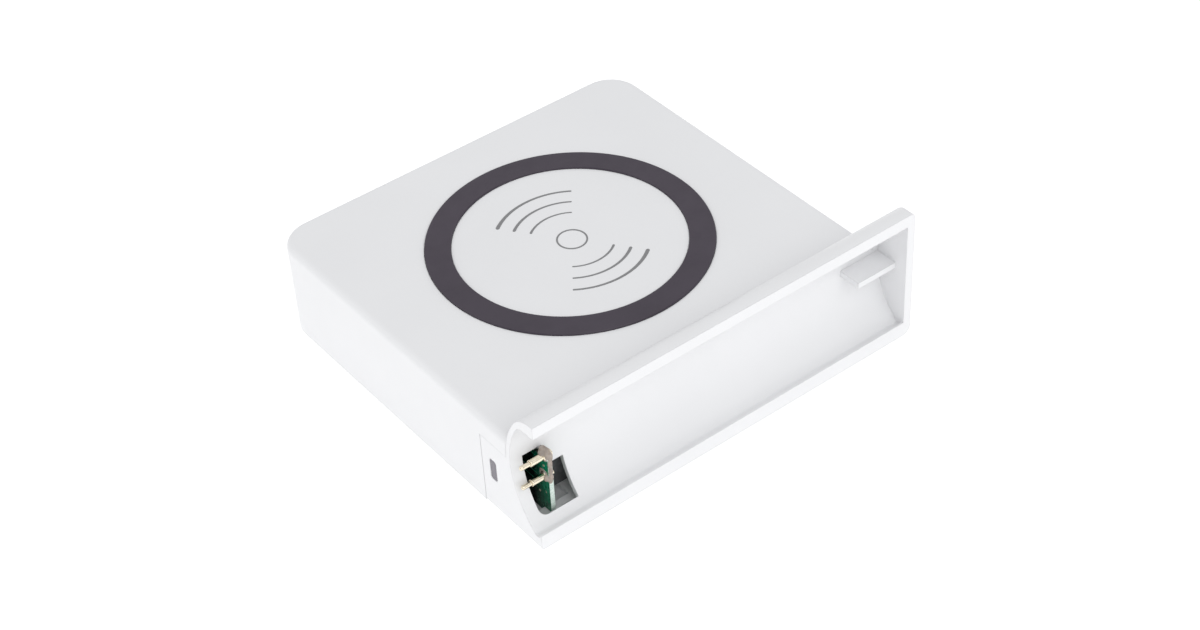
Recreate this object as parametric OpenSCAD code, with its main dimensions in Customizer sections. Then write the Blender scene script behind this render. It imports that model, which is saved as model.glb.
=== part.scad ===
// Wireless charging pad with a concave docking channel and two sprung contacts.
// X runs along the channel, +Y towards the pad's back, +Z up; the feet stand on Z = 0.

/* [Pad] */
// Width of the pad along the channel
pad_w = 91; // [89:1:94]
// Depth from the channel's front plane to the pad's back face
pad_d = 91; // [89:1:98]
// Height of the pad's top face above the housing's base
pad_h = 22.2; // [22:0.2:25]
// Radius of the two vertical back corners
corner_r = 7.5; // [6:0.5:10]
// Rounding along the pad's top edge
edge_r = 1.5; // [0.8:0.1:1.8]
// Wall thickness of the housing mouldings
wall = 2; // [1.8:0.1:2.2]

/* [Docking channel] */
// Length of the channel, which reaches past the pad at one end
channel_len = 96; // [96:1:104]
// Height of the channel's top lip above the housing's base
channel_h = 31.5; // [31.3:0.2:33]
// Radius of the trough that sits on the power rail
trough_r = 19.12; // [19:0.02:19.3]
// Wall thickness of the trough
channel_wall = 1.2; // [1:0.1:1.6]
// Length of the retaining tab beside the end wall
tab_len = 10.3; // [8:0.1:12]

/* [Charging surface] */
// Outer radius of the soft ring
ring_r = 30; // [28:0.5:31]
// Width of the soft ring
ring_w = 5.5; // [4:0.5:7]
// Height the ring stands above the top face
ring_proud = 0.4; // [0.2:0.1:0.6]
// Distance of the ring's centre behind the channel's front plane
ring_y = 48.5; // [47.5:0.5:49.5]

/* [Spring contacts] */
// Distance between the two contacts
contact_pitch = 5.08; // [4.5:0.02:5.3]
// Diameter of a contact barrel
barrel_d = 1.45; // [1.3:0.05:1.5]
// Diameter of a contact plunger
plunger_d = 1; // [0.9:0.02:1.04]
// Length of plunger that shows at rest
plunger_out = 2.35; // [1.9:0.05:2.4]

/* [Indicator and feet] */
// Height of the indicator window
lens_h = 5.1; // [4:0.1:5.4]
// Width of the indicator window
lens_w = 2; // [1.6:0.1:2.4]
// Diameter of a rubber foot
foot_d = 8; // [6:0.5:9]
// Height the feet stand below the housing's base
foot_proud = 0.5; // [0.3:0.1:0.8]

/* [Hidden] */

$fn = 96;
eps = 0.02;
seam = 0.06;
gap = 0.15;

// trough section, in the plane across the channel
trough_y = -10.74;
trough_z = 17.11;
shell_r = trough_r + channel_wall;
lip_t = 2.8;
lip_z = channel_h - lip_t;
lip_fillet = 3;
lip_fillet_z = lip_z - lip_fillet;
lip_fillet_dz = lip_fillet_z - trough_z;
lip_fillet_y = trough_y + sqrt(pow(trough_r - lip_fillet, 2) - pow(lip_fillet_dz, 2));
lip_tangent_z = trough_z + lip_fillet_dz * trough_r / (trough_r - lip_fillet);
ridge_r = 6.5;
ridge_z = channel_h - ridge_r;
ridge_dz = ridge_z - trough_z;
ridge_y = trough_y + sqrt(pow(shell_r - ridge_r, 2) - pow(ridge_dz, 2));
ridge_tangent_z = trough_z + ridge_dz * shell_r / (shell_r - ridge_r);
nose_r = 0.4;
rail_floor = 2.8;
rail_lip_t = 0.6;
rail_lip_z = 3.6;
rail_nose_r = 0.25;

// joint between channel moulding and top shell
floor_depth = 18;
floor_t = wall;
panel_h = 17.5;
end_wall = 2;
end_foot_r = 2;
end_head_r = 1.2;
open_end_r = 0.5;

// window through the trough and the tab at its far end
win_x0 = 2.8;
win_head_x = 6.75;
win_step_x = 7.35;
win_x1 = 11.6;
win_z0 = 4.3;
win_step_z = 12.2;
win_head_z = 15.9;
win_z1 = 17;
win_r = 1.7;
win_sill_y = trough_y + sqrt(pow(trough_r, 2) - pow(trough_z - win_z0, 2));
win_slope = atan2(trough_z - win_z0, win_sill_y - trough_y);
tab_t = 1.4;
tab_top = 17.9;
tab_front = 3;

// contact board and contacts
board_x = 6.2;
board_t = 1;
board_front = 5.05;
board_back = 16.5;
board_foot = 0.9;
board_head = 17.2;
board_ear_y = 7.9;
board_top = 15.8;
board_step_z = 2.1;
board_step_y = 7.6;
pocket_floor = 0.8;
pocket_y0 = 7.4;
pocket_x0 = 2.6;
pocket_x1 = 12;
slot_clear = 0.1;
contact_y = 6.4;
contact_mid_z = 13.68;
contact_z = [contact_mid_z + contact_pitch / 2, contact_mid_z - contact_pitch / 2];
barrel_r = barrel_d / 2;
barrel_mouth_x = 3;
barrel_end_x = 8;
mouth_len = 0.35;
mouth_r = plunger_d / 2 + 0.03;
head_r = plunger_d / 2 + 0.05;
bore_r = head_r + 0.03;
head_x = barrel_mouth_x + mouth_len + 0.05;
head_len = 0.9;
bore_end_x = 6.7;
tip_x = barrel_mouth_x - plunger_out;
spring_x0 = head_x + head_len;
spring_turns = 8;
spring_wire_r = 0.06;
spring_r = bore_r - spring_wire_r - 0.04;
glue_x = board_x + board_t * 0.6;

// indicator
lens_y = 14.45;
lens_z = 10.55;
lens_x0 = 0.1;
lens_x1 = 4.9;
lens_r = 0.6;
lens_fit = 0.05;
flange_over = 0.9;
flange_t = 0.9;
led_t = 0.7;

// stack under the charging surface
ring_deep = 0.8;
ring_bevel = 0.12;
ring_fit = 0.05;
ring_x = pad_w / 2;
print_t = 0.05;
print_shift = 0.5;
print_circle_r = 3.12;
ceiling = pad_h - wall;
tape_t = 0.3;
coil_turns = 10;
coil_wire_r = 0.6;
coil_pitch = 1.16;
coil_r0 = 10.6;
coil_z = ceiling - tape_t - coil_wire_r;
ferrite_r = 25;
ferrite_t = 1;
ferrite_top = coil_z - coil_wire_r;
ferrite_hole_r = 3;

// bottom cover, main board and fasteners
cover_t = wall;
cover_x0 = wall + gap;
cover_y0 = floor_depth + gap;
post_r = 3;
pilot_r = 1;
cover_post_inset = 8.5;
cover_post_y0 = 25.5;
cover_post_xs = [cover_post_inset, pad_w - cover_post_inset];
cover_post_ys = [cover_post_y0, pad_d - cover_post_inset];
channel_post_y = 14.2;
channel_post_xs = [26, 64];
screw_r = 1;
screw_hole_r = 1.3;
screw_head_r = 2.3;
screw_head_t = 1.1;
screw_len = 9;
board_x0 = 14;
board_x1 = 76;
board_y0 = 30;
board_y1 = 74;
main_t = 1.6;
main_z = 5;
main_top = main_z + main_t;
main_hole_inset = 4;
main_hole_xs = [board_x0 + main_hole_inset, board_x1 - main_hole_inset];
main_hole_ys = [board_y0 + main_hole_inset, board_y1 - main_hole_inset];
standoff_r = 2.4;
small_screw_r = 0.8;
small_hole_r = 1.05;
small_head_r = 1.7;
small_head_t = 1.2;
small_screw_len = 3;
foot_r = foot_d / 2;
foot_deep = 0.8;
foot_front_y = 9;
foot_back_y = pad_d - 10;
foot_front_xs = [20.5, pad_w - 20.5];
foot_back_xs = [19, pad_w - 19];
lead_r = 0.6;

// colours
white = [0.93, 0.93, 0.94];
dark = [0.25, 0.22, 0.27];
green = [0.05, 0.38, 0.22];
gold = [0.86, 0.7, 0.42];
steel = [0.72, 0.73, 0.75];
copper = [0.72, 0.4, 0.22];
black = [0.08, 0.08, 0.09];

// moves the housing frame to the part's frame: centred, feet on the ground
module placed() {
    translate([-channel_len / 2, -pad_d / 2, foot_proud]) children();
}

// extrudes a section drawn in (Y, Z) along X
module along_x(x0, x1) {
    translate([x0, 0, 0])
        rotate([90, 0, 90])
            linear_extrude(x1 - x0) children();
}

// extrudes a shape drawn in (X, Z) along +Y
module along_y(y0, y1) {
    translate([0, y1, 0])
        rotate([90, 0, 0])
            linear_extrude(y1 - y0) children();
}

module rod_x(x0, x1, r, y, z) {
    translate([x0, y, z])
        rotate([0, 90, 0])
            cylinder(h = x1 - x0, r = r);
}

module rod_z(z0, z1, r, x, y) {
    translate([x, y, z0]) cylinder(h = z1 - z0, r = r);
}

module block(x0, x1, y0, y1, z0, z1) {
    translate([x0, y0, z0]) cube([x1 - x0, y1 - y0, z1 - z0]);
}

// rectangle with a different radius at its low-Y and high-Y corners
module plan_shape(x0, x1, y0, y1, r) {
    union() {
        translate([x0, y0]) square([x1 - x0, y1 - y0 - r]);
        translate([x0 + r, y0]) square([x1 - x0 - 2 * r, y1 - y0]);
        translate([x0 + r, y1 - r]) circle(r);
        translate([x1 - r, y1 - r]) circle(r);
    }
}

module round_rect(w, h, r) {
    union() {
        square([w - 2 * r, h], center = true);
        square([w, h - 2 * r], center = true);
        for (sx = [-1, 1])
            for (sy = [-1, 1])
                translate([sx * (w / 2 - r), sy * (h / 2 - r)]) circle(r);
    }
}

// block with rounded back corners and a rounded top edge on its sides and back
module pad_block() {
    r = corner_r;
    e = edge_r;
    linear_extrude(pad_h - e)
        plan_shape(0, pad_w, 0, pad_d, r);
    translate([0, 0, pad_h - e - eps])
        linear_extrude(e + eps)
            plan_shape(e, pad_w - e, 0, pad_d - e, r - e);
    for (x = [e, pad_w - e])
        translate([x, 0, pad_h - e])
            rotate([-90, 0, 0])
                cylinder(h = pad_d - r, r = e);
    rod_x(r, pad_w - r, e, pad_d - e, pad_h - e);
    for (x = [r, pad_w - r])
        translate([x, pad_d - r, 0])
            corner_round(r, e);
}

module corner_round(r, e) {
    rotate_extrude()
        union() {
            square([r - e, pad_h]);
            translate([0, pad_h - 2 * e]) square([r, e]);
            translate([r - e, pad_h - e]) circle(e);
        }
}

// closed outline of the channel's outside, in (Y, Z)
module channel_outline() {
    union() {
        intersection() {
            translate([trough_y, trough_z]) circle(shell_r, $fn = 180);
            square([floor_depth, ridge_tangent_z]);
        }
        intersection() {
            translate([ridge_y, ridge_z]) circle(ridge_r);
            square([floor_depth, channel_h]);
        }
        translate([0, lip_z - lip_fillet])
            square([ridge_y, lip_fillet + lip_t - nose_r]);
        translate([nose_r, lip_z]) square([ridge_y - nose_r, lip_t]);
        translate([nose_r, channel_h - nose_r]) circle(nose_r);
    }
}

// hollow of the trough, in (Y, Z)
module trough_hollow() {
    union() {
        difference() {
            intersection() {
                translate([trough_y, trough_z]) circle(trough_r, $fn = 180);
                translate([-1, rail_floor]) square([floor_depth, lip_tangent_z - rail_floor]);
            }
            translate([-2, 0]) square([2 + rail_lip_t, rail_lip_z - rail_nose_r]);
            translate([-2, 0]) square([2 + rail_lip_t - rail_nose_r, rail_lip_z]);
            translate([rail_lip_t - rail_nose_r, rail_lip_z - rail_nose_r]) circle(rail_nose_r);
        }
        translate([lip_fillet_y, lip_fillet_z]) circle(lip_fillet);
        translate([-1, lip_fillet_z - lip_fillet])
            square([1 + lip_fillet_y, 2 * lip_fillet]);
    }
}

module trough_shell() {
    difference() {
        channel_outline();
        trough_hollow();
    }
}

module rail_section(depth) {
    difference() {
        union() {
            trough_shell();
            square([depth, floor_t]);
            square([rail_lip_t + 1.2, rail_lip_z]);
        }
        trough_hollow();
    }
}

module side_panel() {
    difference() {
        union() {
            trough_shell();
            square([floor_depth, panel_h]);
        }
        trough_hollow();
    }
}

// outline of the channel seen from the front, in (X, Z)
module front_outline() {
    union() {
        translate([open_end_r, 0])
            square([channel_len - open_end_r - end_foot_r, channel_h]);
        translate([0, open_end_r])
            square([channel_len, channel_h - open_end_r - end_head_r]);
        translate([0, channel_h / 2])
            square([channel_len - end_head_r, channel_h / 2]);
        translate([channel_len - end_head_r, channel_h - end_head_r]) circle(end_head_r);
    }
}

module front_trim() {
    difference() {
        translate([-1, -1]) square([channel_len + 2, channel_h + 2]);
        difference() {
            front_outline();
            translate([channel_len - end_foot_r, 0]) square(end_foot_r);
        }
        translate([channel_len - end_foot_r, end_foot_r]) circle(end_foot_r);
        translate([open_end_r, open_end_r]) circle(open_end_r);
    }
}

// stepped window, in (X, Z)
module window_shape() {
    union() {
        translate([win_x0, win_z0 + win_r])
            square([win_head_x - win_x0, win_z1 - win_z0 - win_r]);
        translate([win_x0, win_z0 + win_r])
            square([win_step_x - win_x0, win_head_z - win_z0 - win_r]);
        translate([win_x0 + win_r, win_z0])
            square([win_x1 - win_x0 - win_r, win_step_z - win_z0]);
        translate([win_x0 + win_r, win_z0 + win_r]) circle(win_r);
    }
}

// the lower part of the window is cut square to the trough's curved surface
module window_cut() {
    along_y(1, 12) window_shape();
    translate([0, win_sill_y, win_z0])
        rotate([-win_slope, 0, 0])
            along_y(-0.6, 1.6)
                translate([0, -win_z0])
                    intersection() {
                        window_shape();
                        square([win_x1 + 1, win_z0 + 3]);
                    }
}

// recess in the channel's floor under the contact board
module board_pocket() {
    block(pocket_x0, pocket_x1, pocket_y0, floor_depth - 0.8, pocket_floor, floor_t + 0.5);
}

module lens_shape(grow) {
    round_rect(lens_w + 2 * grow, lens_h + 2 * grow, lens_r);
}

module lens_at(x0, x1, grow) {
    along_x(x0, x1)
        translate([lens_y, lens_z]) lens_shape(grow);
}

module screw_post(x, y, r) {
    difference() {
        rod_z(floor_t, ceiling + eps, r, x, y);
        rod_z(0, screw_len + 1, pilot_r, x, y);
    }
}

module top_shell() {
    color(white)
        placed()
            difference() {
                union() {
                    difference() {
                        pad_block();
                        shell_cavity();
                        ring_groove();
                    }
                    for (x = cover_post_xs)
                        for (y = cover_post_ys)
                            screw_post(x, y, post_r);
                    for (x = channel_post_xs)
                        screw_post(x, channel_post_y, post_r - 0.4);
                }
                rod_x(-1, channel_len, shell_r + seam, trough_y, trough_z, $fn = 180);
                block(-1, pad_w + 1, -1, floor_depth + 2 * seam, -1, panel_h);
                block(-1, pad_w + 1, -1, 5, -1, pad_h + 1);
            }
}

module shell_cavity() {
    r = corner_r - wall;
    translate([0, 0, -1])
        linear_extrude(ceiling + 1)
            plan_shape(wall, pad_w - wall, -1, pad_d - wall, r);
}

module ring_groove() {
    translate([ring_x, ring_y, pad_h - ring_deep])
        difference() {
            cylinder(h = ring_deep + 1, r = ring_r + ring_fit);
            translate([0, 0, -1]) cylinder(h = ring_deep + 3, r = ring_r - ring_w - ring_fit);
        }
}

module dock_channel() {
    color(white)
        placed() {
            channel_body();
            board_ribs();
        }
}

module channel_body() {
    difference() {
        union() {
            along_x(0, channel_len - end_wall + eps) rail_section(4);
            along_x(wall, pad_w - wall) rail_section(floor_depth);
            along_x(0, wall) side_panel();
            along_x(pad_w - wall, pad_w) side_panel();
            along_x(channel_len - end_wall, channel_len) end_section();
            block(channel_len - end_wall - tab_len, channel_len - end_wall + eps,
                tab_front, trough_y + trough_r + 0.3, tab_top - tab_t, tab_top);
        }
        along_y(-1, pad_d) front_trim();
        window_cut();
        board_pocket();
        lens_at(-1, wall + 1, lens_fit);
        for (x = channel_post_xs)
            screw_seat(x, channel_post_y);
        for (x = foot_front_xs)
            rod_z(-1, foot_deep, foot_r + ring_fit, x, foot_front_y);
    }
}

module end_section() {
    union() {
        channel_outline();
        square([4, rail_lip_z + 1]);
    }
}

// pair of ribs on the channel's floor that hold the contact board
module board_ribs() {
    rib = 0.8;
    for (x = [board_x - slot_clear - rib, board_x + board_t + slot_clear])
        block(x, x + rib, 13, 16, pocket_floor - eps, floor_t + 3);
}

module screw_seat(x, y) {
    rod_z(-1, floor_t + 1, screw_hole_r, x, y);
    rod_z(-1, screw_head_t + 0.1, screw_head_r + 0.15, x, y);
}

module bottom_cover() {
    color(white)
        placed()
            difference() {
                union() {
                    linear_extrude(cover_t)
                        plan_shape(cover_x0, pad_w - cover_x0, cover_y0, pad_d - cover_x0,
                            corner_r - cover_x0);
                    for (x = main_hole_xs)
                        for (y = main_hole_ys)
                            rod_z(cover_t - eps, main_z, standoff_r, x, y);
                }
                for (x = cover_post_xs)
                    for (y = cover_post_ys)
                        screw_seat(x, y);
                for (x = main_hole_xs)
                    for (y = main_hole_ys)
                        rod_z(main_z - small_screw_len, main_z + 1, small_screw_r, x, y);
                for (x = foot_back_xs)
                    rod_z(-1, foot_deep, foot_r + ring_fit, x, foot_back_y);
            }
}

module ring_inlay() {
    top = pad_h + ring_proud;
    r1 = ring_r;
    r0 = ring_r - ring_w;
    color(dark)
        placed()
            translate([ring_x, ring_y, 0])
                rotate_extrude($fn = 144)
                    polygon([
                        [r0, pad_h - ring_deep],
                        [r1, pad_h - ring_deep],
                        [r1, top - ring_bevel],
                        [r1 - ring_bevel, top],
                        [r0 + ring_bevel, top],
                        [r0, top - ring_bevel]
                    ]);
}

// arc stroke with round ends that swells from a thin end to a thick end
module wave_stroke(r, thin, thick, span) {
    d = (thick - thin) / (1 - cos(span));
    far = r * 3;
    linear_extrude(print_t)
        union() {
            translate([r + d / 2, 0]) circle(thin / 2, $fn = 24);
            rotate([0, 0, span])
                translate([r + (thin + d - thick) / 2, 0]) circle(thick / 2, $fn = 24);
        }
    linear_extrude(print_t)
        intersection() {
            difference() {
                circle(r + thin / 2 + d / 2);
                translate([d, 0]) circle(r - thin / 2 - d / 2);
            }
            polygon([
                [0, 0],
                [far, 0],
                [far * cos(span / 2), far * sin(span / 2)],
                [far * cos(span), far * sin(span)]
            ]);
        }
}

module wave_print() {
    span = 72;
    color([0.5, 0.5, 0.52])
        placed()
            translate([ring_x + print_shift, ring_y, pad_h]) {
                linear_extrude(print_t)
                    difference() {
                        circle(print_circle_r + 0.18);
                        circle(print_circle_r - 0.18);
                    }
                for (k = [0, 1, 2]) {
                    r = 8.85 + 3.6 * k;
                    thin = 0.32 + 0.06 * k;
                    thick = 0.5 + 0.15 * k;
                    for (turn = [53.6, -126.4])
                        rotate([0, 0, turn]) wave_stroke(r, thin, thick, span);
                }
            }
}

module indicator_lens() {
    color([0.45, 0.42, 0.47])
        placed() {
            lens_at(lens_x0, lens_x1, 0);
            along_x(wall + lens_fit, wall + flange_t)
                translate([lens_y, lens_z])
                    round_rect(lens_w + 2 * flange_over, lens_h + 2 * flange_over, lens_r);
        }
}

module status_led() {
    color([0.95, 0.95, 0.85])
        placed() {
            block(board_x - led_t, board_x, lens_y - 0.4, lens_y + 0.4, lens_z - 0.8, lens_z + 0.8);
            rod_x(board_x - led_t - 0.1, board_x - led_t + eps, 0.3, lens_y, lens_z);
        }
}

module contact_board() {
    color(green)
        placed()
            difference() {
                along_x(board_x, board_x + board_t)
                    polygon([
                        [board_front, board_head],
                        [board_front, board_step_z],
                        [board_step_y, board_step_z],
                        [board_step_y, board_foot],
                        [board_back, board_foot],
                        [board_back, board_top],
                        [board_ear_y, board_top],
                        [board_ear_y, board_head]
                    ]);
                for (z = contact_z)
                    rod_x(board_x - 1, board_x + board_t + 1, barrel_r, contact_y, z);
            }
}

module barrel(z) {
    difference() {
        union() {
            rod_x(barrel_mouth_x, bore_end_x + 0.4, barrel_r, contact_y, z);
            rod_x(bore_end_x, barrel_end_x, barrel_r - 0.12, contact_y, z);
        }
        rod_x(barrel_mouth_x - 1, barrel_mouth_x + 1, mouth_r, contact_y, z);
        rod_x(barrel_mouth_x + mouth_len, bore_end_x, bore_r, contact_y, z);
    }
}

module contact_barrels() {
    color(gold)
        placed()
            for (z = contact_z)
                barrel(z);
}

module plunger(z) {
    r = plunger_d / 2;
    color(gold)
        placed() {
            translate([tip_x + r, contact_y, z]) sphere(r, $fn = 32);
            rod_x(tip_x + r, head_x + eps, r, contact_y, z);
            rod_x(head_x, head_x + head_len, head_r, contact_y, z);
        }
}

module plunger_upper() {
    plunger(contact_z[0]);
}

module plunger_lower() {
    plunger(contact_z[1]);
}

module contact_spring(z) {
    len = bore_end_x - spring_x0 - 2 * eps;
    color(steel)
        placed()
            translate([spring_x0 + eps, contact_y, z])
                rotate([0, 90, 0])
                    linear_extrude(len, twist = -360 * spring_turns, slices = 10 * spring_turns, $fn = 6)
                        translate([spring_r, 0]) circle(spring_wire_r, $fn = 6);
}

module spring_upper() {
    contact_spring(contact_z[0]);
}

module spring_lower() {
    contact_spring(contact_z[1]);
}

module blob(x, y, z, r) {
    translate([x, y, z]) sphere(r, $fn = 40);
}

// bead of hot-melt glue over the board's front edge and the contacts' roots
module glue_bead() {
    bead_y = board_front + 0.15;
    color([0.66, 0.62, 0.6])
        placed()
            difference() {
                union() {
                    blob(glue_x + 0.35, bead_y + 0.5, 16.9, 1.5);
                    rod_z(12.4, 17, 0.95, glue_x + 0.25, bead_y);
                    blob(glue_x + 0.25, bead_y, 12.4, 0.95);
                }
                block(board_x, board_x + board_t, board_front, board_back, board_foot, board_head);
                rod_x(0, bore_end_x + 4, barrel_r + eps, contact_y, contact_z[0]);
                rod_x(0, bore_end_x + 4, barrel_r + eps, contact_y, contact_z[1]);
            }
}

module coil_tape() {
    color([0.8, 0.8, 0.78])
        placed()
            translate([ring_x, ring_y, ceiling - tape_t])
                difference() {
                    cylinder(h = tape_t, r = 22);
                    translate([0, 0, -1]) cylinder(h = tape_t + 2, r = 10);
                }
}

module charging_coil() {
    color(copper)
        placed()
            translate([ring_x, ring_y, coil_z])
                rotate_extrude()
                    for (k = [0 : coil_turns - 1])
                        translate([coil_r0 + k * coil_pitch, 0]) circle(coil_wire_r, $fn = 24);
}

module ferrite_sheet() {
    color(black)
        placed()
            translate([ring_x, ring_y, ferrite_top - ferrite_t])
                difference() {
                    cylinder(h = ferrite_t, r = ferrite_r);
                    translate([0, 0, -1]) cylinder(h = ferrite_t + 2, r = ferrite_hole_r);
                }
}

module coil_sensor() {
    color(black)
        placed() {
            translate([ring_x, ring_y, ceiling - 1.3]) sphere(1.3, $fn = 32);
            for (s = [-1, 1])
                rod_z(main_top, ceiling - 1.3, 0.25, ring_x + s * 0.7, ring_y);
        }
}

module coil_leads() {
    x = ring_x + ferrite_r + 2;
    edge = ring_x + coil_r0 + (coil_turns - 1) * coil_pitch + coil_wire_r;
    color(copper)
        placed()
            for (y = [ring_y - 1.8, ring_y + 1.8]) {
                rod_z(main_top, coil_z, lead_r, x, y);
                translate([x, y, coil_z]) sphere(lead_r, $fn = 32);
                rod_x(edge + 0.1, x, lead_r, y, coil_z);
            }
}

module contact_leads() {
    board_face = board_x + board_t;
    for (k = [0, 1]) {
        z = 9 + 2.4 * k;
        x = 13 + 1.8 * k;
        y = 12;
        end_x = 24 + 2.6 * k;
        end_y = 32.5;
        color([0.75, 0.1, 0.1])
            placed() {
                rod_x(board_face, x, lead_r, y, z);
                translate([x, y, z]) sphere(lead_r, $fn = 32);
                translate([x, y, z])
                    rotate([-90, 0, 0])
                        cylinder(h = end_y - y, r = lead_r);
                translate([x, end_y, z]) sphere(lead_r, $fn = 32);
                rod_x(x, end_x, lead_r, end_y, z);
                translate([end_x, end_y, z]) sphere(lead_r, $fn = 32);
                rod_z(main_top, z, lead_r, end_x, end_y);
            }
    }
}

module main_board() {
    color(green)
        placed()
            difference() {
                block(board_x0, board_x1, board_y0, board_y1, main_z, main_top);
                for (x = main_hole_xs)
                    for (y = main_hole_ys)
                        rod_z(main_z - 1, main_top + 1, small_hole_r, x, y);
            }
}

module chip(x, y, w, d, h) {
    block(x - w / 2, x + w / 2, y - d / 2, y + d / 2, main_top, main_top + h);
}

module controller_chip() {
    color(black) placed() chip(38, 52, 7, 7, 0.9);
}

module bridge_transistors() {
    color(black)
        placed()
            for (x = [24, 32])
                for (y = [60, 67])
                    chip(x, y, 5, 6, 1);
}

module resonant_capacitors() {
    color([0.62, 0.5, 0.36])
        placed()
            for (k = [0 : 3])
                chip(60, 38.5 + 6 * k, 5.6, 5, 2.4);
}

module power_inductor() {
    color([0.3, 0.3, 0.32])
        placed() {
            chip(54, 66, 7.4, 7.4, 2.8);
            rod_z(main_top + 2.8 - eps, main_top + 3.1, 3, 54, 66);
        }
}

module small_screw(x, y) {
    difference() {
        union() {
            rod_z(main_top, main_top + small_head_t, small_head_r, x, y);
            rod_z(main_z - small_screw_len, main_top + eps, small_screw_r, x, y);
        }
        translate([x, y, main_top + small_head_t]) drive_recess(0.55);
    }
}

module drive_recess(r) {
    for (a = [0, 90])
        rotate([0, 0, a])
            cube([3.2 * r, r * 0.7, 1.2], center = true);
}

module board_screws() {
    color(steel)
        placed()
            for (x = main_hole_xs)
                for (y = main_hole_ys)
                    small_screw(x, y);
}

module housing_screw(x, y) {
    difference() {
        union() {
            rod_z(0.1, screw_head_t + 0.1, screw_head_r, x, y);
            rod_z(screw_head_t, screw_len, screw_r, x, y);
        }
        translate([x, y, 0.1]) drive_recess(0.75);
    }
}

module cover_screws() {
    color(steel)
        placed()
            for (x = cover_post_xs)
                for (y = cover_post_ys)
                    housing_screw(x, y);
}

module channel_screws() {
    color(steel)
        placed()
            for (x = channel_post_xs)
                housing_screw(x, channel_post_y);
}

module rubber_foot(x, y) {
    translate([x, y, 0])
        rotate_extrude($fn = 64)
            polygon([
                [0, foot_deep],
                [0, -foot_proud],
                [foot_r - 0.35, -foot_proud],
                [foot_r, -foot_proud + 0.35],
                [foot_r, foot_deep]
            ]);
}

module rubber_feet() {
    color([0.8, 0.8, 0.82])
        placed() {
            for (x = foot_front_xs)
                rubber_foot(x, foot_front_y);
            for (x = foot_back_xs)
                rubber_foot(x, foot_back_y);
        }
}

top_shell();
dock_channel();
bottom_cover();
ring_inlay();
wave_print();
indicator_lens();
status_led();
contact_board();
contact_barrels();
plunger_upper();
plunger_lower();
spring_upper();
spring_lower();
glue_bead();
coil_tape();
charging_coil();
ferrite_sheet();
coil_sensor();
coil_leads();
contact_leads();
main_board();
controller_chip();
bridge_transistors();
resonant_capacitors();
power_inductor();
board_screws();
cover_screws();
channel_screws();
rubber_feet();
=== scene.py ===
"""Looks of the wireless charging pad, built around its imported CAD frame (metres)."""
import math

import bmesh
import bpy
from mathutils import Matrix, Vector, noise


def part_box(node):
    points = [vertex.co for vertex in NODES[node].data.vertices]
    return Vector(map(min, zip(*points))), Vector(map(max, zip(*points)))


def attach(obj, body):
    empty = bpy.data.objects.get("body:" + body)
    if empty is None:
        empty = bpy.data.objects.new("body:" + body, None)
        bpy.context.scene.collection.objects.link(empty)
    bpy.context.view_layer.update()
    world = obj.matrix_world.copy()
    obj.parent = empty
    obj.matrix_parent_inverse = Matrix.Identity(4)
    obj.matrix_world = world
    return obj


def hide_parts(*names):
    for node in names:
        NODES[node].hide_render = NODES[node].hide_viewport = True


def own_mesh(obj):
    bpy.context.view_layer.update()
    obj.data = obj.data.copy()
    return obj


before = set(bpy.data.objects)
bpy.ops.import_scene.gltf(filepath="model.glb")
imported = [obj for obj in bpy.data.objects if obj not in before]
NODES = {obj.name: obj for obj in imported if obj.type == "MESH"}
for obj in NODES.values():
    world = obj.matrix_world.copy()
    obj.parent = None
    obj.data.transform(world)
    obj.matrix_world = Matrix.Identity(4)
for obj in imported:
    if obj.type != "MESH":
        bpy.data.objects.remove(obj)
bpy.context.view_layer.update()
MM = 0.001


# ---------------------------------------------------------------- camera
AZIMUTH = math.radians(-36.19)
ELEVATION = math.radians(40.29)
ROLL = math.radians(-3.35)
DISTANCE = 464.9 * MM
IMAGE_WIDTH = 1200
FOCAL_WIDTHS = 2301.2 / IMAGE_WIDTH    # focal length in image widths
SHIFT_WIDTHS = -9.9 / IMAGE_WIDTH      # sideways shift in image widths
SENSOR = 36.0
TARGET = Vector((-6.07, -14.15, 15.5)) * MM


def make_camera():
    data = bpy.data.cameras.new("camera")
    cam = bpy.data.objects.new("camera", data)
    bpy.context.scene.collection.objects.link(cam)
    data.sensor_width = SENSOR
    data.lens = SENSOR * FOCAL_WIDTHS
    data.shift_x = SHIFT_WIDTHS
    data.clip_start = 0.01
    data.clip_end = 20
    back = Vector((math.sin(AZIMUTH) * math.cos(ELEVATION),
                   -math.cos(AZIMUTH) * math.cos(ELEVATION),
                   math.sin(ELEVATION)))
    right = Vector((0, 0, 1)).cross(back).normalized()
    up = back.cross(right)
    rolled_right = right * math.cos(ROLL) + up * math.sin(ROLL)
    rolled_up = up * math.cos(ROLL) - right * math.sin(ROLL)
    place = Matrix.Identity(4)
    for k, axis in enumerate((rolled_right, rolled_up, back)):
        for row in range(3):
            place[row][k] = axis[row]
    place.translation = TARGET + back * DISTANCE
    cam.matrix_world = place
    bpy.context.scene.camera = cam


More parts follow.
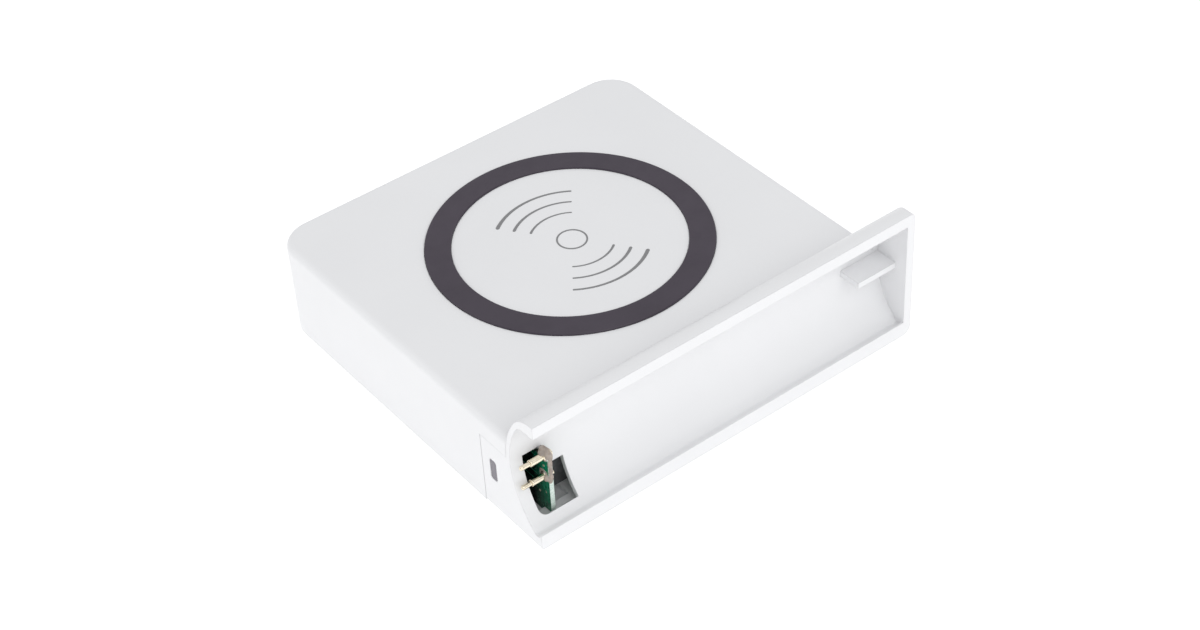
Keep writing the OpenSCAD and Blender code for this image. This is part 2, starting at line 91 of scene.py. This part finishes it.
# ---------------------------------------------------------------- materials
class Shader:
    """Small helper that wires a procedural material."""

    def __init__(self, name, color, roughness, **inputs):
        self.mat = bpy.data.materials.new(name)
        self.mat.use_nodes = True
        self.tree = self.mat.node_tree
        self.tree.nodes.clear()
        self.out = self.add("ShaderNodeOutputMaterial")
        self.bsdf = self.add("ShaderNodeBsdfPrincipled")
        self.link(self.bsdf.outputs["BSDF"], self.out.inputs["Surface"])
        self.bsdf.inputs["Base Color"].default_value = (*color, 1)
        self.bsdf.inputs["Roughness"].default_value = roughness
        for key, value in inputs.items():
            self.bsdf.inputs[key.replace("_", " ")].default_value = value
        self.coord = self.add("ShaderNodeTexCoord").outputs["Object"]
        self.normal = None
        self.mat.diffuse_color = (*color, 1)

    def add(self, kind, **settings):
        node = self.tree.nodes.new(kind)
        for key, value in settings.items():
            setattr(node, key, value)
        return node

    def link(self, a, b):
        self.tree.links.new(a, b)

    def noise(self, scale, detail=2.0, rough=0.5, stretch=None):
        node = self.add("ShaderNodeTexNoise")
        node.inputs["Scale"].default_value = scale
        node.inputs["Detail"].default_value = detail
        node.inputs["Roughness"].default_value = rough
        source = self.coord
        if stretch:
            mapping = self.add("ShaderNodeMapping")
            mapping.inputs["Scale"].default_value = stretch
            self.link(self.coord, mapping.inputs["Vector"])
            source = mapping.outputs["Vector"]
        self.link(source, node.inputs["Vector"])
        return node.outputs["Fac"]

    def spread(self, source, low, high, out_low=0.0, out_high=1.0):
        node = self.add("ShaderNodeMapRange")
        for key, value in zip(("From Min", "From Max", "To Min", "To Max"),
                              (low, high, out_low, out_high)):
            node.inputs[key].default_value = value
        self.link(source, node.inputs["Value"])
        return node.outputs["Result"]

    def mix(self, factor, a, b):
        node = self.add("ShaderNodeMix", data_type="RGBA")
        self.link(factor, node.inputs["Factor"])
        for value, socket in ((a, node.inputs[6]), (b, node.inputs[7])):
            if isinstance(value, tuple):
                socket.default_value = (*value, 1)
            else:
                self.link(value, socket)
        return node.outputs[2]

    def mottle(self, source, low, high):
        """Colour that wanders between two tones with a noise."""
        return self.mix(self.spread(source, 0.3, 0.7), low, high)

    def color(self, source):
        self.link(source, self.bsdf.inputs["Base Color"])

    def rough(self, source, low, high):
        self.link(self.spread(source, 0.3, 0.7, low, high), self.bsdf.inputs["Roughness"])

    def bump(self, source, strength, distance):
        node = self.add("ShaderNodeBump")
        node.inputs["Strength"].default_value = strength
        node.inputs["Distance"].default_value = distance
        self.link(source, node.inputs["Height"])
        if self.normal:
            self.link(self.normal, node.inputs["Normal"])
        self.normal = node.outputs["Normal"]
        self.link(self.normal, self.bsdf.inputs["Normal"])

    def soft_edges(self, radius):
        """Rounds the look of sharp moulded edges."""
        node = self.add("ShaderNodeBevel", samples=4)
        node.inputs["Radius"].default_value = radius
        self.normal = node.outputs["Normal"]
        self.link(self.normal, self.bsdf.inputs["Normal"])

    def place_axis(self, k):
        split = self.add("ShaderNodeSeparateXYZ")
        self.link(self.coord, split.inputs[0])
        return split.outputs[k]

    def normal_axis(self, k):
        split = self.add("ShaderNodeSeparateXYZ")
        geometry = self.add("ShaderNodeNewGeometry")
        self.link(geometry.outputs["Normal"], split.inputs[0])
        return split.outputs[k]

    def math(self, operation, a, b=None):
        node = self.add("ShaderNodeMath", operation=operation)
        for value, socket in ((a, node.inputs[0]), (b, node.inputs[1])):
            if value is None:
                continue
            if isinstance(value, (int, float)):
                socket.default_value = value
            else:
                self.link(value, socket)
        return node.outputs[0]


def white_plastic():
    s = Shader("white_abs", (0.8, 0.802, 0.812), 0.34, IOR=1.5)
    cloud = s.noise(45, 3)
    s.color(s.mix(s.spread(cloud, 0.35, 0.65), (0.795, 0.797, 0.807), (0.807, 0.809, 0.819)))
    s.rough(s.noise(260, 4), 0.3, 0.4)
    s.soft_edges(0.22 * MM)
    s.bump(s.noise(30, 2), 0.1, 0.2 * MM)
    s.bump(s.noise(5200, 2, 0.6), 0.18, 0.01 * MM)
    return s.mat


def dark_ring():
    s = Shader("ring_silicone", (0.044, 0.033, 0.049), 0.4, IOR=1.45)
    s.color(s.mottle(s.noise(90, 4), (0.041, 0.031, 0.046), (0.049, 0.038, 0.055)))
    s.rough(s.noise(420, 4), 0.34, 0.48)
    s.soft_edges(0.12 * MM)
    s.bump(s.noise(3800, 3, 0.6), 0.3, 0.012 * MM)
    return s.mat


def grey_print():
    s = Shader("print_ink", (0.215, 0.215, 0.22), 0.5)
    s.color(s.mottle(s.noise(2600, 3), (0.2, 0.2, 0.205), (0.24, 0.24, 0.245)))
    s.bump(s.noise(6000, 2), 0.2, 0.008 * MM)
    return s.mat


def smoked_lens():
    s = Shader("smoked_lens", (0.175, 0.16, 0.2), 0.16, IOR=1.58)
    s.bsdf.inputs["Transmission Weight"].default_value = 0.25
    s.color(s.mottle(s.noise(700, 2), (0.145, 0.13, 0.165), (0.17, 0.155, 0.192)))
    s.rough(s.noise(900, 3), 0.12, 0.24)
    s.bump(s.noise(2200, 2), 0.1, 0.01 * MM)
    return s.mat


def led_body():
    s = Shader("led_epoxy", (0.86, 0.8, 0.45), 0.25)
    s.color(s.mottle(s.noise(3000, 2), (0.82, 0.74, 0.38), (0.9, 0.86, 0.6)))
    s.bump(s.noise(4000, 2), 0.2, 0.01 * MM)
    return s.mat


WEAVE_SCALE = 9000    # radians per metre of the glass weave


def circuit_board(name, normal_axis):
    """Green mask on both faces, bare glass-fibre laminate on the sawn edges."""
    s = Shader(name, (0.0, 0.12, 0.06), 0.3, IOR=1.5)
    weave = s.math("MULTIPLY", s.math("SINE", s.math("MULTIPLY", s.place_axis(1), WEAVE_SCALE)),
                   s.math("SINE", s.math("MULTIPLY", s.place_axis(2), WEAVE_SCALE)))
    pour = s.add("ShaderNodeTexBrick")
    pour.inputs["Scale"].default_value = 230
    pour.inputs["Mortar Size"].default_value = 0.06
    pour.inputs["Color1"].default_value = (1, 1, 1, 1)
    pour.inputs["Color2"].default_value = (0.9, 0.9, 0.9, 1)
    pour.inputs["Mortar"].default_value = (0, 0, 0, 1)
    turn = s.add("ShaderNodeMapping")
    turn.inputs["Rotation"].default_value = (0, math.radians(90), 0)
    s.link(s.coord, turn.inputs["Vector"])
    s.link(turn.outputs["Vector"], pour.inputs["Vector"])
    mask = s.mix(pour.outputs["Color"], (0.0, 0.13, 0.062), (0.0, 0.2, 0.1))
    mask = s.mix(s.spread(weave, -1, 1, 0.0, 0.18), mask, (0.01, 0.2, 0.11))
    fibre = s.noise(1500, 3, 0.6, (1, 1, 6))
    edge = s.mottle(fibre, (0.42, 0.58, 0.5), (0.85, 0.92, 0.86))
    is_face = s.math("GREATER_THAN", s.math("ABSOLUTE", s.normal_axis(normal_axis)), 0.5)
    s.rough(s.noise(800, 3), 0.22, 0.4)
    s.bump(pour.outputs["Color"], 0.25, 0.03 * MM)
    return s, mask, edge, is_face


def upright_board():
    """The contact board. Its face and edge carry painted shade, darker with depth, as in the
    photograph.
    """
    s, mask, edge, is_face = circuit_board("board_upright", normal_axis=0)
    front = corners("contact_board")[0].y
    # Painted shade: the mask's green darkens to near black with depth into the cavity.
    deep = s.spread(s.place_axis(1), front + 1.6 * MM, front + 5.2 * MM)
    mask = s.mix(deep, mask, (0.0, 0.006, 0.004))
    # Painted shade: the sawn edge goes near black from just behind the front.
    painted_edge_shade = s.spread(s.place_axis(1), front + 1.5 * MM, front + 2.2 * MM)
    edge = s.mix(painted_edge_shade, edge, (0.01, 0.02, 0.015))
    s.color(s.mix(is_face, edge, mask))
    # Painted shade: the specular level falls with depth, dimming reflections deep in the cavity.
    s.link(s.spread(deep, 0, 1, 0.4, 0.02), s.bsdf.inputs["Specular IOR Level"])
    return s.mat


def flat_board():
    s, mask, edge, is_face = circuit_board("board_flat", normal_axis=2)
    s.color(s.mix(is_face, edge, mask))
    return s.mat


def metal(name, color, roughness, grain=2500):
    s = Shader(name, color, roughness, Metallic=1.0)
    darker = tuple(c * 0.82 for c in color)
    s.color(s.mottle(s.noise(grain * 0.3, 4), darker, color))
    s.rough(s.noise(grain, 4, 0.6), roughness * 0.7, roughness * 1.5)
    s.bump(s.noise(grain * 1.6, 3), 0.25, 0.008 * MM)
    return s.mat


def matte(name, color, roughness, grain=1200, contrast=0.15, bump=0.25):
    s = Shader(name, color, roughness)
    light = tuple(min(1, c * (1 + contrast)) for c in color)
    deep = tuple(c * (1 - contrast) for c in color)
    s.color(s.mottle(s.noise(grain * 0.4, 4), deep, light))
    s.rough(s.noise(grain * 0.5, 3), roughness * 0.85, min(1, roughness * 1.15))
    s.bump(s.noise(grain, 3, 0.6), bump, 0.02 * MM)
    return s.mat


def hot_glue():
    s = Shader("hot_glue", (0.33, 0.28, 0.245), 0.33, IOR=1.48)
    s.bsdf.inputs["Subsurface Weight"].default_value = 0.5
    s.bsdf.inputs["Subsurface Radius"].default_value = (0.6 * MM, 0.5 * MM, 0.4 * MM)
    s.bsdf.inputs["Subsurface Scale"].default_value = 1.0
    s.color(s.mottle(s.noise(700, 4), (0.27, 0.225, 0.195), (0.4, 0.345, 0.3)))
    s.rough(s.noise(900, 3), 0.22, 0.48)
    s.bump(s.noise(900, 3), 0.35, 0.08 * MM)
    return s.mat


def give(node, material):
    for slot in NODES[node].material_slots:
        slot.material = material


def finish_nodes():
    white = white_plastic()
    gold = metal("gold_plate", (0.95, 0.86, 0.68), 0.13)
    steel = metal("zinc_screw", (0.62, 0.63, 0.66), 0.34)
    epoxy = matte("chip_epoxy", (0.03, 0.03, 0.032), 0.5)
    looks = {
        "top_shell": white, "dock_channel": white, "bottom_cover": white,
        "ring_inlay": dark_ring(), "wave_print": grey_print(),
        "indicator_lens": smoked_lens(), "status_led": led_body(),
        "contact_board": upright_board(), "main_board": flat_board(),
        "contact_barrels": gold, "plunger_upper": gold, "plunger_lower": gold,
        "spring_upper": steel, "spring_lower": steel, "glue_bead": hot_glue(),
        "coil_tape": matte("adhesive_film", (0.7, 0.66, 0.55), 0.5),
        "charging_coil": metal("litz_copper", (0.72, 0.36, 0.18), 0.35, 3000),
        "ferrite_sheet": matte("ferrite", (0.05, 0.05, 0.054), 0.6),
        "coil_sensor": matte("sensor_epoxy", (0.04, 0.04, 0.045), 0.35),
        "coil_leads": matte("litz_sleeve", (0.5, 0.22, 0.08), 0.5),
        "contact_leads": matte("red_sleeve", (0.5, 0.03, 0.025), 0.42),
        "controller_chip": epoxy, "bridge_transistors": epoxy,
        "resonant_capacitors": matte("film_capacitor", (0.45, 0.3, 0.16), 0.45),
        "power_inductor": matte("inductor_ferrite", (0.09, 0.09, 0.095), 0.6),
        "board_screws": steel, "cover_screws": steel, "channel_screws": steel,
        "rubber_feet": matte("foot_silicone", (0.5, 0.5, 0.52), 0.55, 900, 0.05),
    }
    for node, material in looks.items():
        give(node, material)
    make_pieces(gold, steel, epoxy, looks["glue_bead"])


def make_pieces(gold, steel, epoxy, glue):
    """Adds the detailed pieces. The glue run and the spring coils replace CAD nodes."""
    solder = metal("solder", (0.7, 0.7, 0.69), 0.3)
    make_flanges(gold, solder)
    make_rims(gold)
    make_springs(steel)
    make_glue(glue)
    mask = matte("mask_over_copper", (0.0, 0.17, 0.085), 0.3, 900, 0.12, 0.1)
    make_board_parts(gold, mask, epoxy, solder)
    # Painted shade: a dark sheet stands in for the shadowed cavity behind the window.
    make_shade_sheet(matte("painted_shade_grey", (0.14, 0.145, 0.15), 0.85, 2200, 0.2, 0.5))


# ---------------------------------------------------------------- pieces
def corners(node):
    low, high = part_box(node)
    return Vector(low), Vector(high)


def piece(name, bm, material, body, smooth=True):
    """Makes an object from a bmesh and rides it on a body."""
    bmesh.ops.remove_doubles(bm, verts=bm.verts, dist=0.0005 * MM)
    bmesh.ops.recalc_face_normals(bm, faces=bm.faces)
    mesh = bpy.data.meshes.new(name)
    for face in bm.faces:
        face.smooth = smooth
    bm.to_mesh(mesh)
    bm.free()
    mesh.materials.append(material)
    obj = bpy.data.objects.new(name, mesh)
    bpy.context.scene.collection.objects.link(obj)
    if smooth:
        mesh.set_sharp_from_angle(angle=math.radians(40))
    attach(obj, body)
    return obj


def from_mm(points):
    """Points given in millimetres, in metres."""
    return [tuple(value * MM for value in point) for point in points]


def lathe(bm, profile, start, steps=40):
    """Turns (distance along X, radius) points about an axis along X."""
    rings = []
    for along, radius in profile:
        ring = []
        for k in range(steps):
            angle = 2 * math.pi * k / steps
            ring.append(bm.verts.new(start + Vector((along, radius * math.cos(angle),
                                                     radius * math.sin(angle)))))
        rings.append(ring)
    for a, b in zip(rings, rings[1:] + rings[:1]):
        for k in range(steps):
            n = (k + 1) % steps
            bm.faces.new((a[k], a[n], b[n], b[k]))


def rounded_block(bm, low, high, radius):
    made = bmesh.ops.create_cube(bm, size=1.0)
    centre = (low + high) / 2
    size = high - low
    for vert in made["verts"]:
        vert.co = centre + Vector(tuple(vert.co[k] * size[k] for k in range(3)))
    edges = list({edge for vert in made["verts"] for edge in vert.link_edges})
    bmesh.ops.bevel(bm, geom=edges, offset=radius, segments=2, affect="EDGES",
                    profile=0.5, clamp_overlap=True)


def contact_spots():
    """Axis point on the board's face of each contact."""
    face = corners("contact_board")[0].x
    for node in ("plunger_upper", "plunger_lower"):
        low, high = corners(node)
        yield Vector((face, (low.y + high.y) / 2, (low.z + high.z) / 2))


CONTACT_BORE = 0.7    # mm, radius kept free around the contacts' axes


def make_flanges(gold, solder):
    """Collar and solder fillet where each barrel meets the board."""
    ring, fillet = bmesh.new(), bmesh.new()
    collar = from_mm([(0, CONTACT_BORE), (0, 1.0), (-0.2, 1.0), (-0.3, 0.9), (-0.34, CONTACT_BORE)])
    bow = from_mm([(-0.02, 0.98), (-0.19, 1.01), (-0.11, 1.08), (-0.05, 1.18), (-0.005, 1.34),
                 (0, 1.3)])
    for spot in contact_spots():
        lathe(ring, collar, spot)
        lathe(fillet, bow, spot)
    piece("contact_flanges", ring, gold, "housing")
    piece("solder_fillets", fillet, solder, "housing")


def lump(bm, centre, size):
    made = bmesh.ops.create_icosphere(bm, subdivisions=3, radius=1.0)
    for vert in made["verts"]:
        vert.co = centre + Vector(tuple(vert.co[k] * size[k] for k in range(3)))


def bore_cutter(spots):
    """Rods that keep the glue out of the contact barrels."""
    bm = bmesh.new()
    length = 3.6 * MM
    past_face = 0.5 * MM
    radius = CONTACT_BORE * MM
    for spot in spots:
        place = Matrix.Translation(spot + Vector((-length / 2 + past_face, 0, 0)))
        bmesh.ops.create_cone(bm, cap_ends=True, segments=40, radius1=radius, radius2=radius,
                              depth=length, matrix=place @ Matrix.Rotation(math.pi / 2, 4, "Y"))
    mesh = bpy.data.meshes.new("bore_cutter")
    bm.to_mesh(mesh)
    bm.free()
    cutter = bpy.data.objects.new("bore_cutter", mesh)
    bpy.context.scene.collection.objects.link(cutter)
    return cutter


def glue_lumps():
    """Mesh of the overlapping lumps that the glue run is melted from."""
    low, high = corners("contact_board")
    upper, lower = contact_spots()
    edge = Vector(((low.x + high.x) / 2, low.y, high.z))
    run_end = Vector((edge.x, edge.y, lower.z))
    # start point, offset from it and half sizes in mm: first the run down the edge, then the films
    # around the contacts' roots
    lumps = (
        (edge, (-0.1, 1.2, 0.05), (0.8, 1.75, 1.1)),
        (edge, (0.15, 0.2, -0.7), (0.58, 0.8, 1.25)),
        (edge, (0.0, 0.0, -2.4), (0.52, 0.42, 1.5)),
        (edge, (0.0, 0.0, -4.2), (0.5, 0.4, 1.5)),
        (edge, (0.0, 0.0, -5.8), (0.52, 0.45, 1.2)),
        (run_end, (-0.15, 0.05, -0.4), (0.52, 0.5, 0.95)),
        (upper, (-0.02, 0.1, 0.3), (0.3, 1.45, 1.3)),
        (upper, (-0.35, 0.2, 0.75), (0.55, 0.8, 0.45)),
        (lower, (0.0, 0.3, 0.35), (0.2, 1.5, 1.25)),
        (lower, (-0.25, -0.8, 0.0), (0.5, 0.5, 0.85)),
    )
    bm = bmesh.new()
    for start, offset, size in lumps:
        lump(bm, start + Vector(offset) * MM, Vector(size) * MM)
    mesh = bpy.data.meshes.new("glue_source")
    bm.to_mesh(mesh)
    bm.free()
    return mesh


def make_glue(material):
    """Hot-melt bead that runs down the board's front edge and around both contacts' roots."""
    source = bpy.data.objects.new("glue_source", glue_lumps())
    bpy.context.scene.collection.objects.link(source)
    remesh = source.modifiers.new("remesh", "REMESH")
    remesh.mode = "VOXEL"
    remesh.voxel_size = 0.13 * MM
    soften = source.modifiers.new("soften", "SMOOTH")
    soften.iterations = 6
    soften.factor = 0.5
    cutter = bore_cutter(contact_spots())
    bores = source.modifiers.new("bores", "BOOLEAN")
    bores.operation = "DIFFERENCE"
    bores.object = cutter
    ready = source.evaluated_get(bpy.context.evaluated_depsgraph_get())
    bm = bmesh.new()
    bm.from_mesh(ready.to_mesh())
    bpy.data.objects.remove(source)
    bpy.data.objects.remove(cutter)
    for vert in bm.verts:
        broad = noise.noise(vert.co / (0.9 * MM)) * 0.09
        fine = noise.noise(vert.co / (0.35 * MM)) * 0.03
        vert.co += vert.normal * (broad + fine) * MM
    obj = piece("glue_run", bm, material, "housing")
    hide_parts("glue_bead")


def make_springs(material):
    """Contact springs, coiled at a fixed length in the CAD springs' places; nothing here shortens
    them as the plungers are pressed.
    """
    turns, around, sides = 8, 24, 8    # coil turns, steps per turn, corners of the wire
    wire = 0.06 * MM                   # radius
    for side in ("upper", "lower"):
        low, high = corners("spring_" + side)
        centre = (low + high) / 2
        radius = (high.y - low.y) / 2 - wire
        length = high.x - low.x - 2 * wire
        bm = bmesh.new()
        rings = []
        for k in range(turns * around + 1):
            angle = 2 * math.pi * k / around
            out = Vector((0, math.cos(angle), math.sin(angle)))
            middle = Vector((low.x + wire + length * k / (turns * around), centre.y, centre.z))
            middle += out * radius
            ring = []
            for n in range(sides):
                turn = 2 * math.pi * n / sides
                ring.append(bm.verts.new(middle + wire * (out * math.cos(turn)
                                                          + Vector((math.sin(turn), 0, 0)))))
            rings.append(ring)
        for a, b in zip(rings, rings[1:]):
            for n in range(sides):
                m = (n + 1) % sides
                bm.faces.new((a[n], a[m], b[m], b[n]))
        bm.faces.new(rings[0])
        bm.faces.new(rings[-1])
        coil = piece(side + "_spring_coil", bm, material, "housing")
        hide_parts("spring_" + side)
        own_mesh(coil)


def make_rims(gold):
    """Rolled rims at the contact barrels' mouths."""
    mouth = corners("contact_barrels")[0].x
    rim = bmesh.new()
    outline = [(0.02, 0.56), (-0.03, 0.6), (-0.05, 0.66), (0.02, 0.73), (0.08, 0.755), (0.2, 0.755),
               (0.26, 0.735), (0.3, 0.71), (0.2, 0.66)]
    for spot in contact_spots():
        lathe(rim, from_mm(outline), Vector((mouth, spot.y, spot.z)))
    piece("barrel_rims", rim, gold, "housing")


def make_board_parts(gold, mask, epoxy, solder):
    """Traces, vias and small parts on the contact board's front face."""
    low = corners("contact_board")[0]
    upper, lower = contact_spots()
    led_low, led_high = corners("status_led")
    face = low.x
    skin = 0.03 * MM
    track_width = 0.22 * MM
    tracks = bmesh.new()

    def track(y0, z0, y1, z1):
        along = Vector((0, y1 - y0, z1 - z0)).normalized()
        side = Vector((0, -along.z, along.y)) * track_width / 2
        ends = [Vector((face, y0, z0)), Vector((face, y1, z1))]
        base = [ends[0] - side, ends[0] + side, ends[1] + side, ends[1] - side]
        drawn_in = (ends[0] + ends[1]) / 2 * 0.001
        lift = Vector((-skin, 0, 0))
        rows = [[tracks.verts.new(p) for p in base],
                [tracks.verts.new(p * 0.999 + drawn_in + lift) for p in base]]
        tracks.faces.new(rows[0])
        tracks.faces.new(rows[1])
        for k in range(4):
            n = (k + 1) % 4
            tracks.faces.new((rows[0][k], rows[0][n], rows[1][n], rows[1][k]))

    back = led_low.y - 0.6 * MM
    for spot, drop in ((upper, -1.6), (lower, -1.2)):
        turn_y, turn_z = spot.y + 2.0 * MM, spot.z + drop * MM
        track(spot.y + 1.1 * MM, spot.z, turn_y, turn_z)
        track(turn_y, turn_z, back, turn_z)
    bend_y, bend_z = low.y + 2.6 * MM, lower.z - 3.2 * MM
    end_y, end_z = low.y + 1.4 * MM, lower.z - 4.4 * MM
    track(bend_y, bend_z, back, bend_z)
    track(end_y, end_z, bend_y, bend_z)
    piece("board_tracks", tracks, mask, "housing", smooth=False)
    vias = bmesh.new()
    via_profile = [(0, 0.12 * MM), (0, 0.3 * MM), (-skin, 0.28 * MM), (-1.3 * skin, 0.2 * MM),
                   (-skin, 0.13 * MM)]
    for y, z in ((end_y, end_z), (low.y + 3.4 * MM, lower.z - 5.4 * MM),
                 (low.y + 1.5 * MM, lower.z + 2.5 * MM)):
        lathe(vias, via_profile, Vector((face, y, z)), 20)
    piece("board_vias", vias, gold, "housing")
    bodies, ends = bmesh.new(), bmesh.new()
    y = (led_low.y + led_high.y) / 2

    def block(bm, z, height, half_y, half_z, radius):
        rounded_block(bm, Vector((face - height * MM, y - half_y * MM, z - half_z * MM)),
                      Vector((face, y + half_y * MM, z + half_z * MM)), radius * MM)

    for dz in (-3.0, 3.0):
        z = (led_low.z + led_high.z) / 2 + dz * MM
        block(bodies, z, 0.35, 0.25, 0.32, 0.05)
        for side in (-1, 1):
            block(ends, z + side * 0.42 * MM, 0.38, 0.27, 0.1, 0.06)
    piece("board_resistors", bodies, epoxy, "housing")
    piece("board_resistor_ends", ends, solder, "housing")


def make_shade_sheet(material):
    """Painted shade: a dark grey sheet in the cavity behind the window, right of the contact board,
    standing in for its shade.
    """
    low, high = corners("contact_board")
    gap, reach, thickness, height = 0.3 * MM, 8.0 * MM, 0.8 * MM, 9.5 * MM
    floor = low.z + 1.2 * MM
    front = low.y + 5.55 * MM
    bm = bmesh.new()
    rounded_block(bm, Vector((high.x + gap, front, floor)),
                  Vector((high.x + reach, front + thickness, floor + height)), 0.15 * MM)
    piece("cavity_shade_sheet", bm, material, "housing")


# ---------------------------------------------------------------- stage and light
FLOOR_GLOW = 0.33
WORLD_STRENGTH = 0.8
SIDE_POWER = 1.5
KEY_POWER = 4.0


def make_stage():
    mesh = bpy.data.meshes.new("floor")
    size = 3.0
    mesh.from_pydata([(-size, -size, 0), (size, -size, 0), (size, size, 0), (-size, size, 0)],
                     [], [(0, 1, 2, 3)])
    floor = bpy.data.objects.new("floor", mesh)
    bpy.context.scene.collection.objects.link(floor)
    s = Shader("pale_floor", (0.94, 0.94, 0.94), 0.9)
    s.color(s.mottle(s.noise(3, 2), (0.935, 0.935, 0.935), (0.945, 0.945, 0.945)))
    s.bsdf.inputs["Specular IOR Level"].default_value = 0.1
    s.bsdf.inputs["Emission Color"].default_value = (1, 1, 1, 1)
    s.bsdf.inputs["Emission Strength"].default_value = FLOOR_GLOW
    mesh.materials.append(s.mat)


def area_light(name, power, size, place, aim):
    data = bpy.data.lights.new(name, "AREA")
    data.shape = "RECTANGLE"
    data.size, data.size_y = size
    data.energy = power
    lamp = bpy.data.objects.new(name, data)
    bpy.context.scene.collection.objects.link(lamp)
    lamp.location = place
    lamp.rotation_euler = (Vector(aim) - Vector(place)).to_track_quat("-Z", "Y").to_euler()


def make_light():
    world = bpy.data.worlds.new("studio")
    bpy.context.scene.world = world
    world.use_nodes = True
    back = world.node_tree.nodes["Background"]
    back.inputs["Color"].default_value = (0.985, 0.99, 1, 1)
    back.inputs["Strength"].default_value = WORLD_STRENGTH
    centre = (0, 0, 0.01)
    area_light("side_softbox", SIDE_POWER, (0.9, 0.8), (-1.0, 0.55, 0.9), centre)
    area_light("key_softbox", KEY_POWER, (1.2, 0.8), (-0.15, -1.0, 0.9), centre)
    bpy.context.scene.view_settings.view_transform = "Standard"


make_camera()
finish_nodes()
make_stage()
make_light()
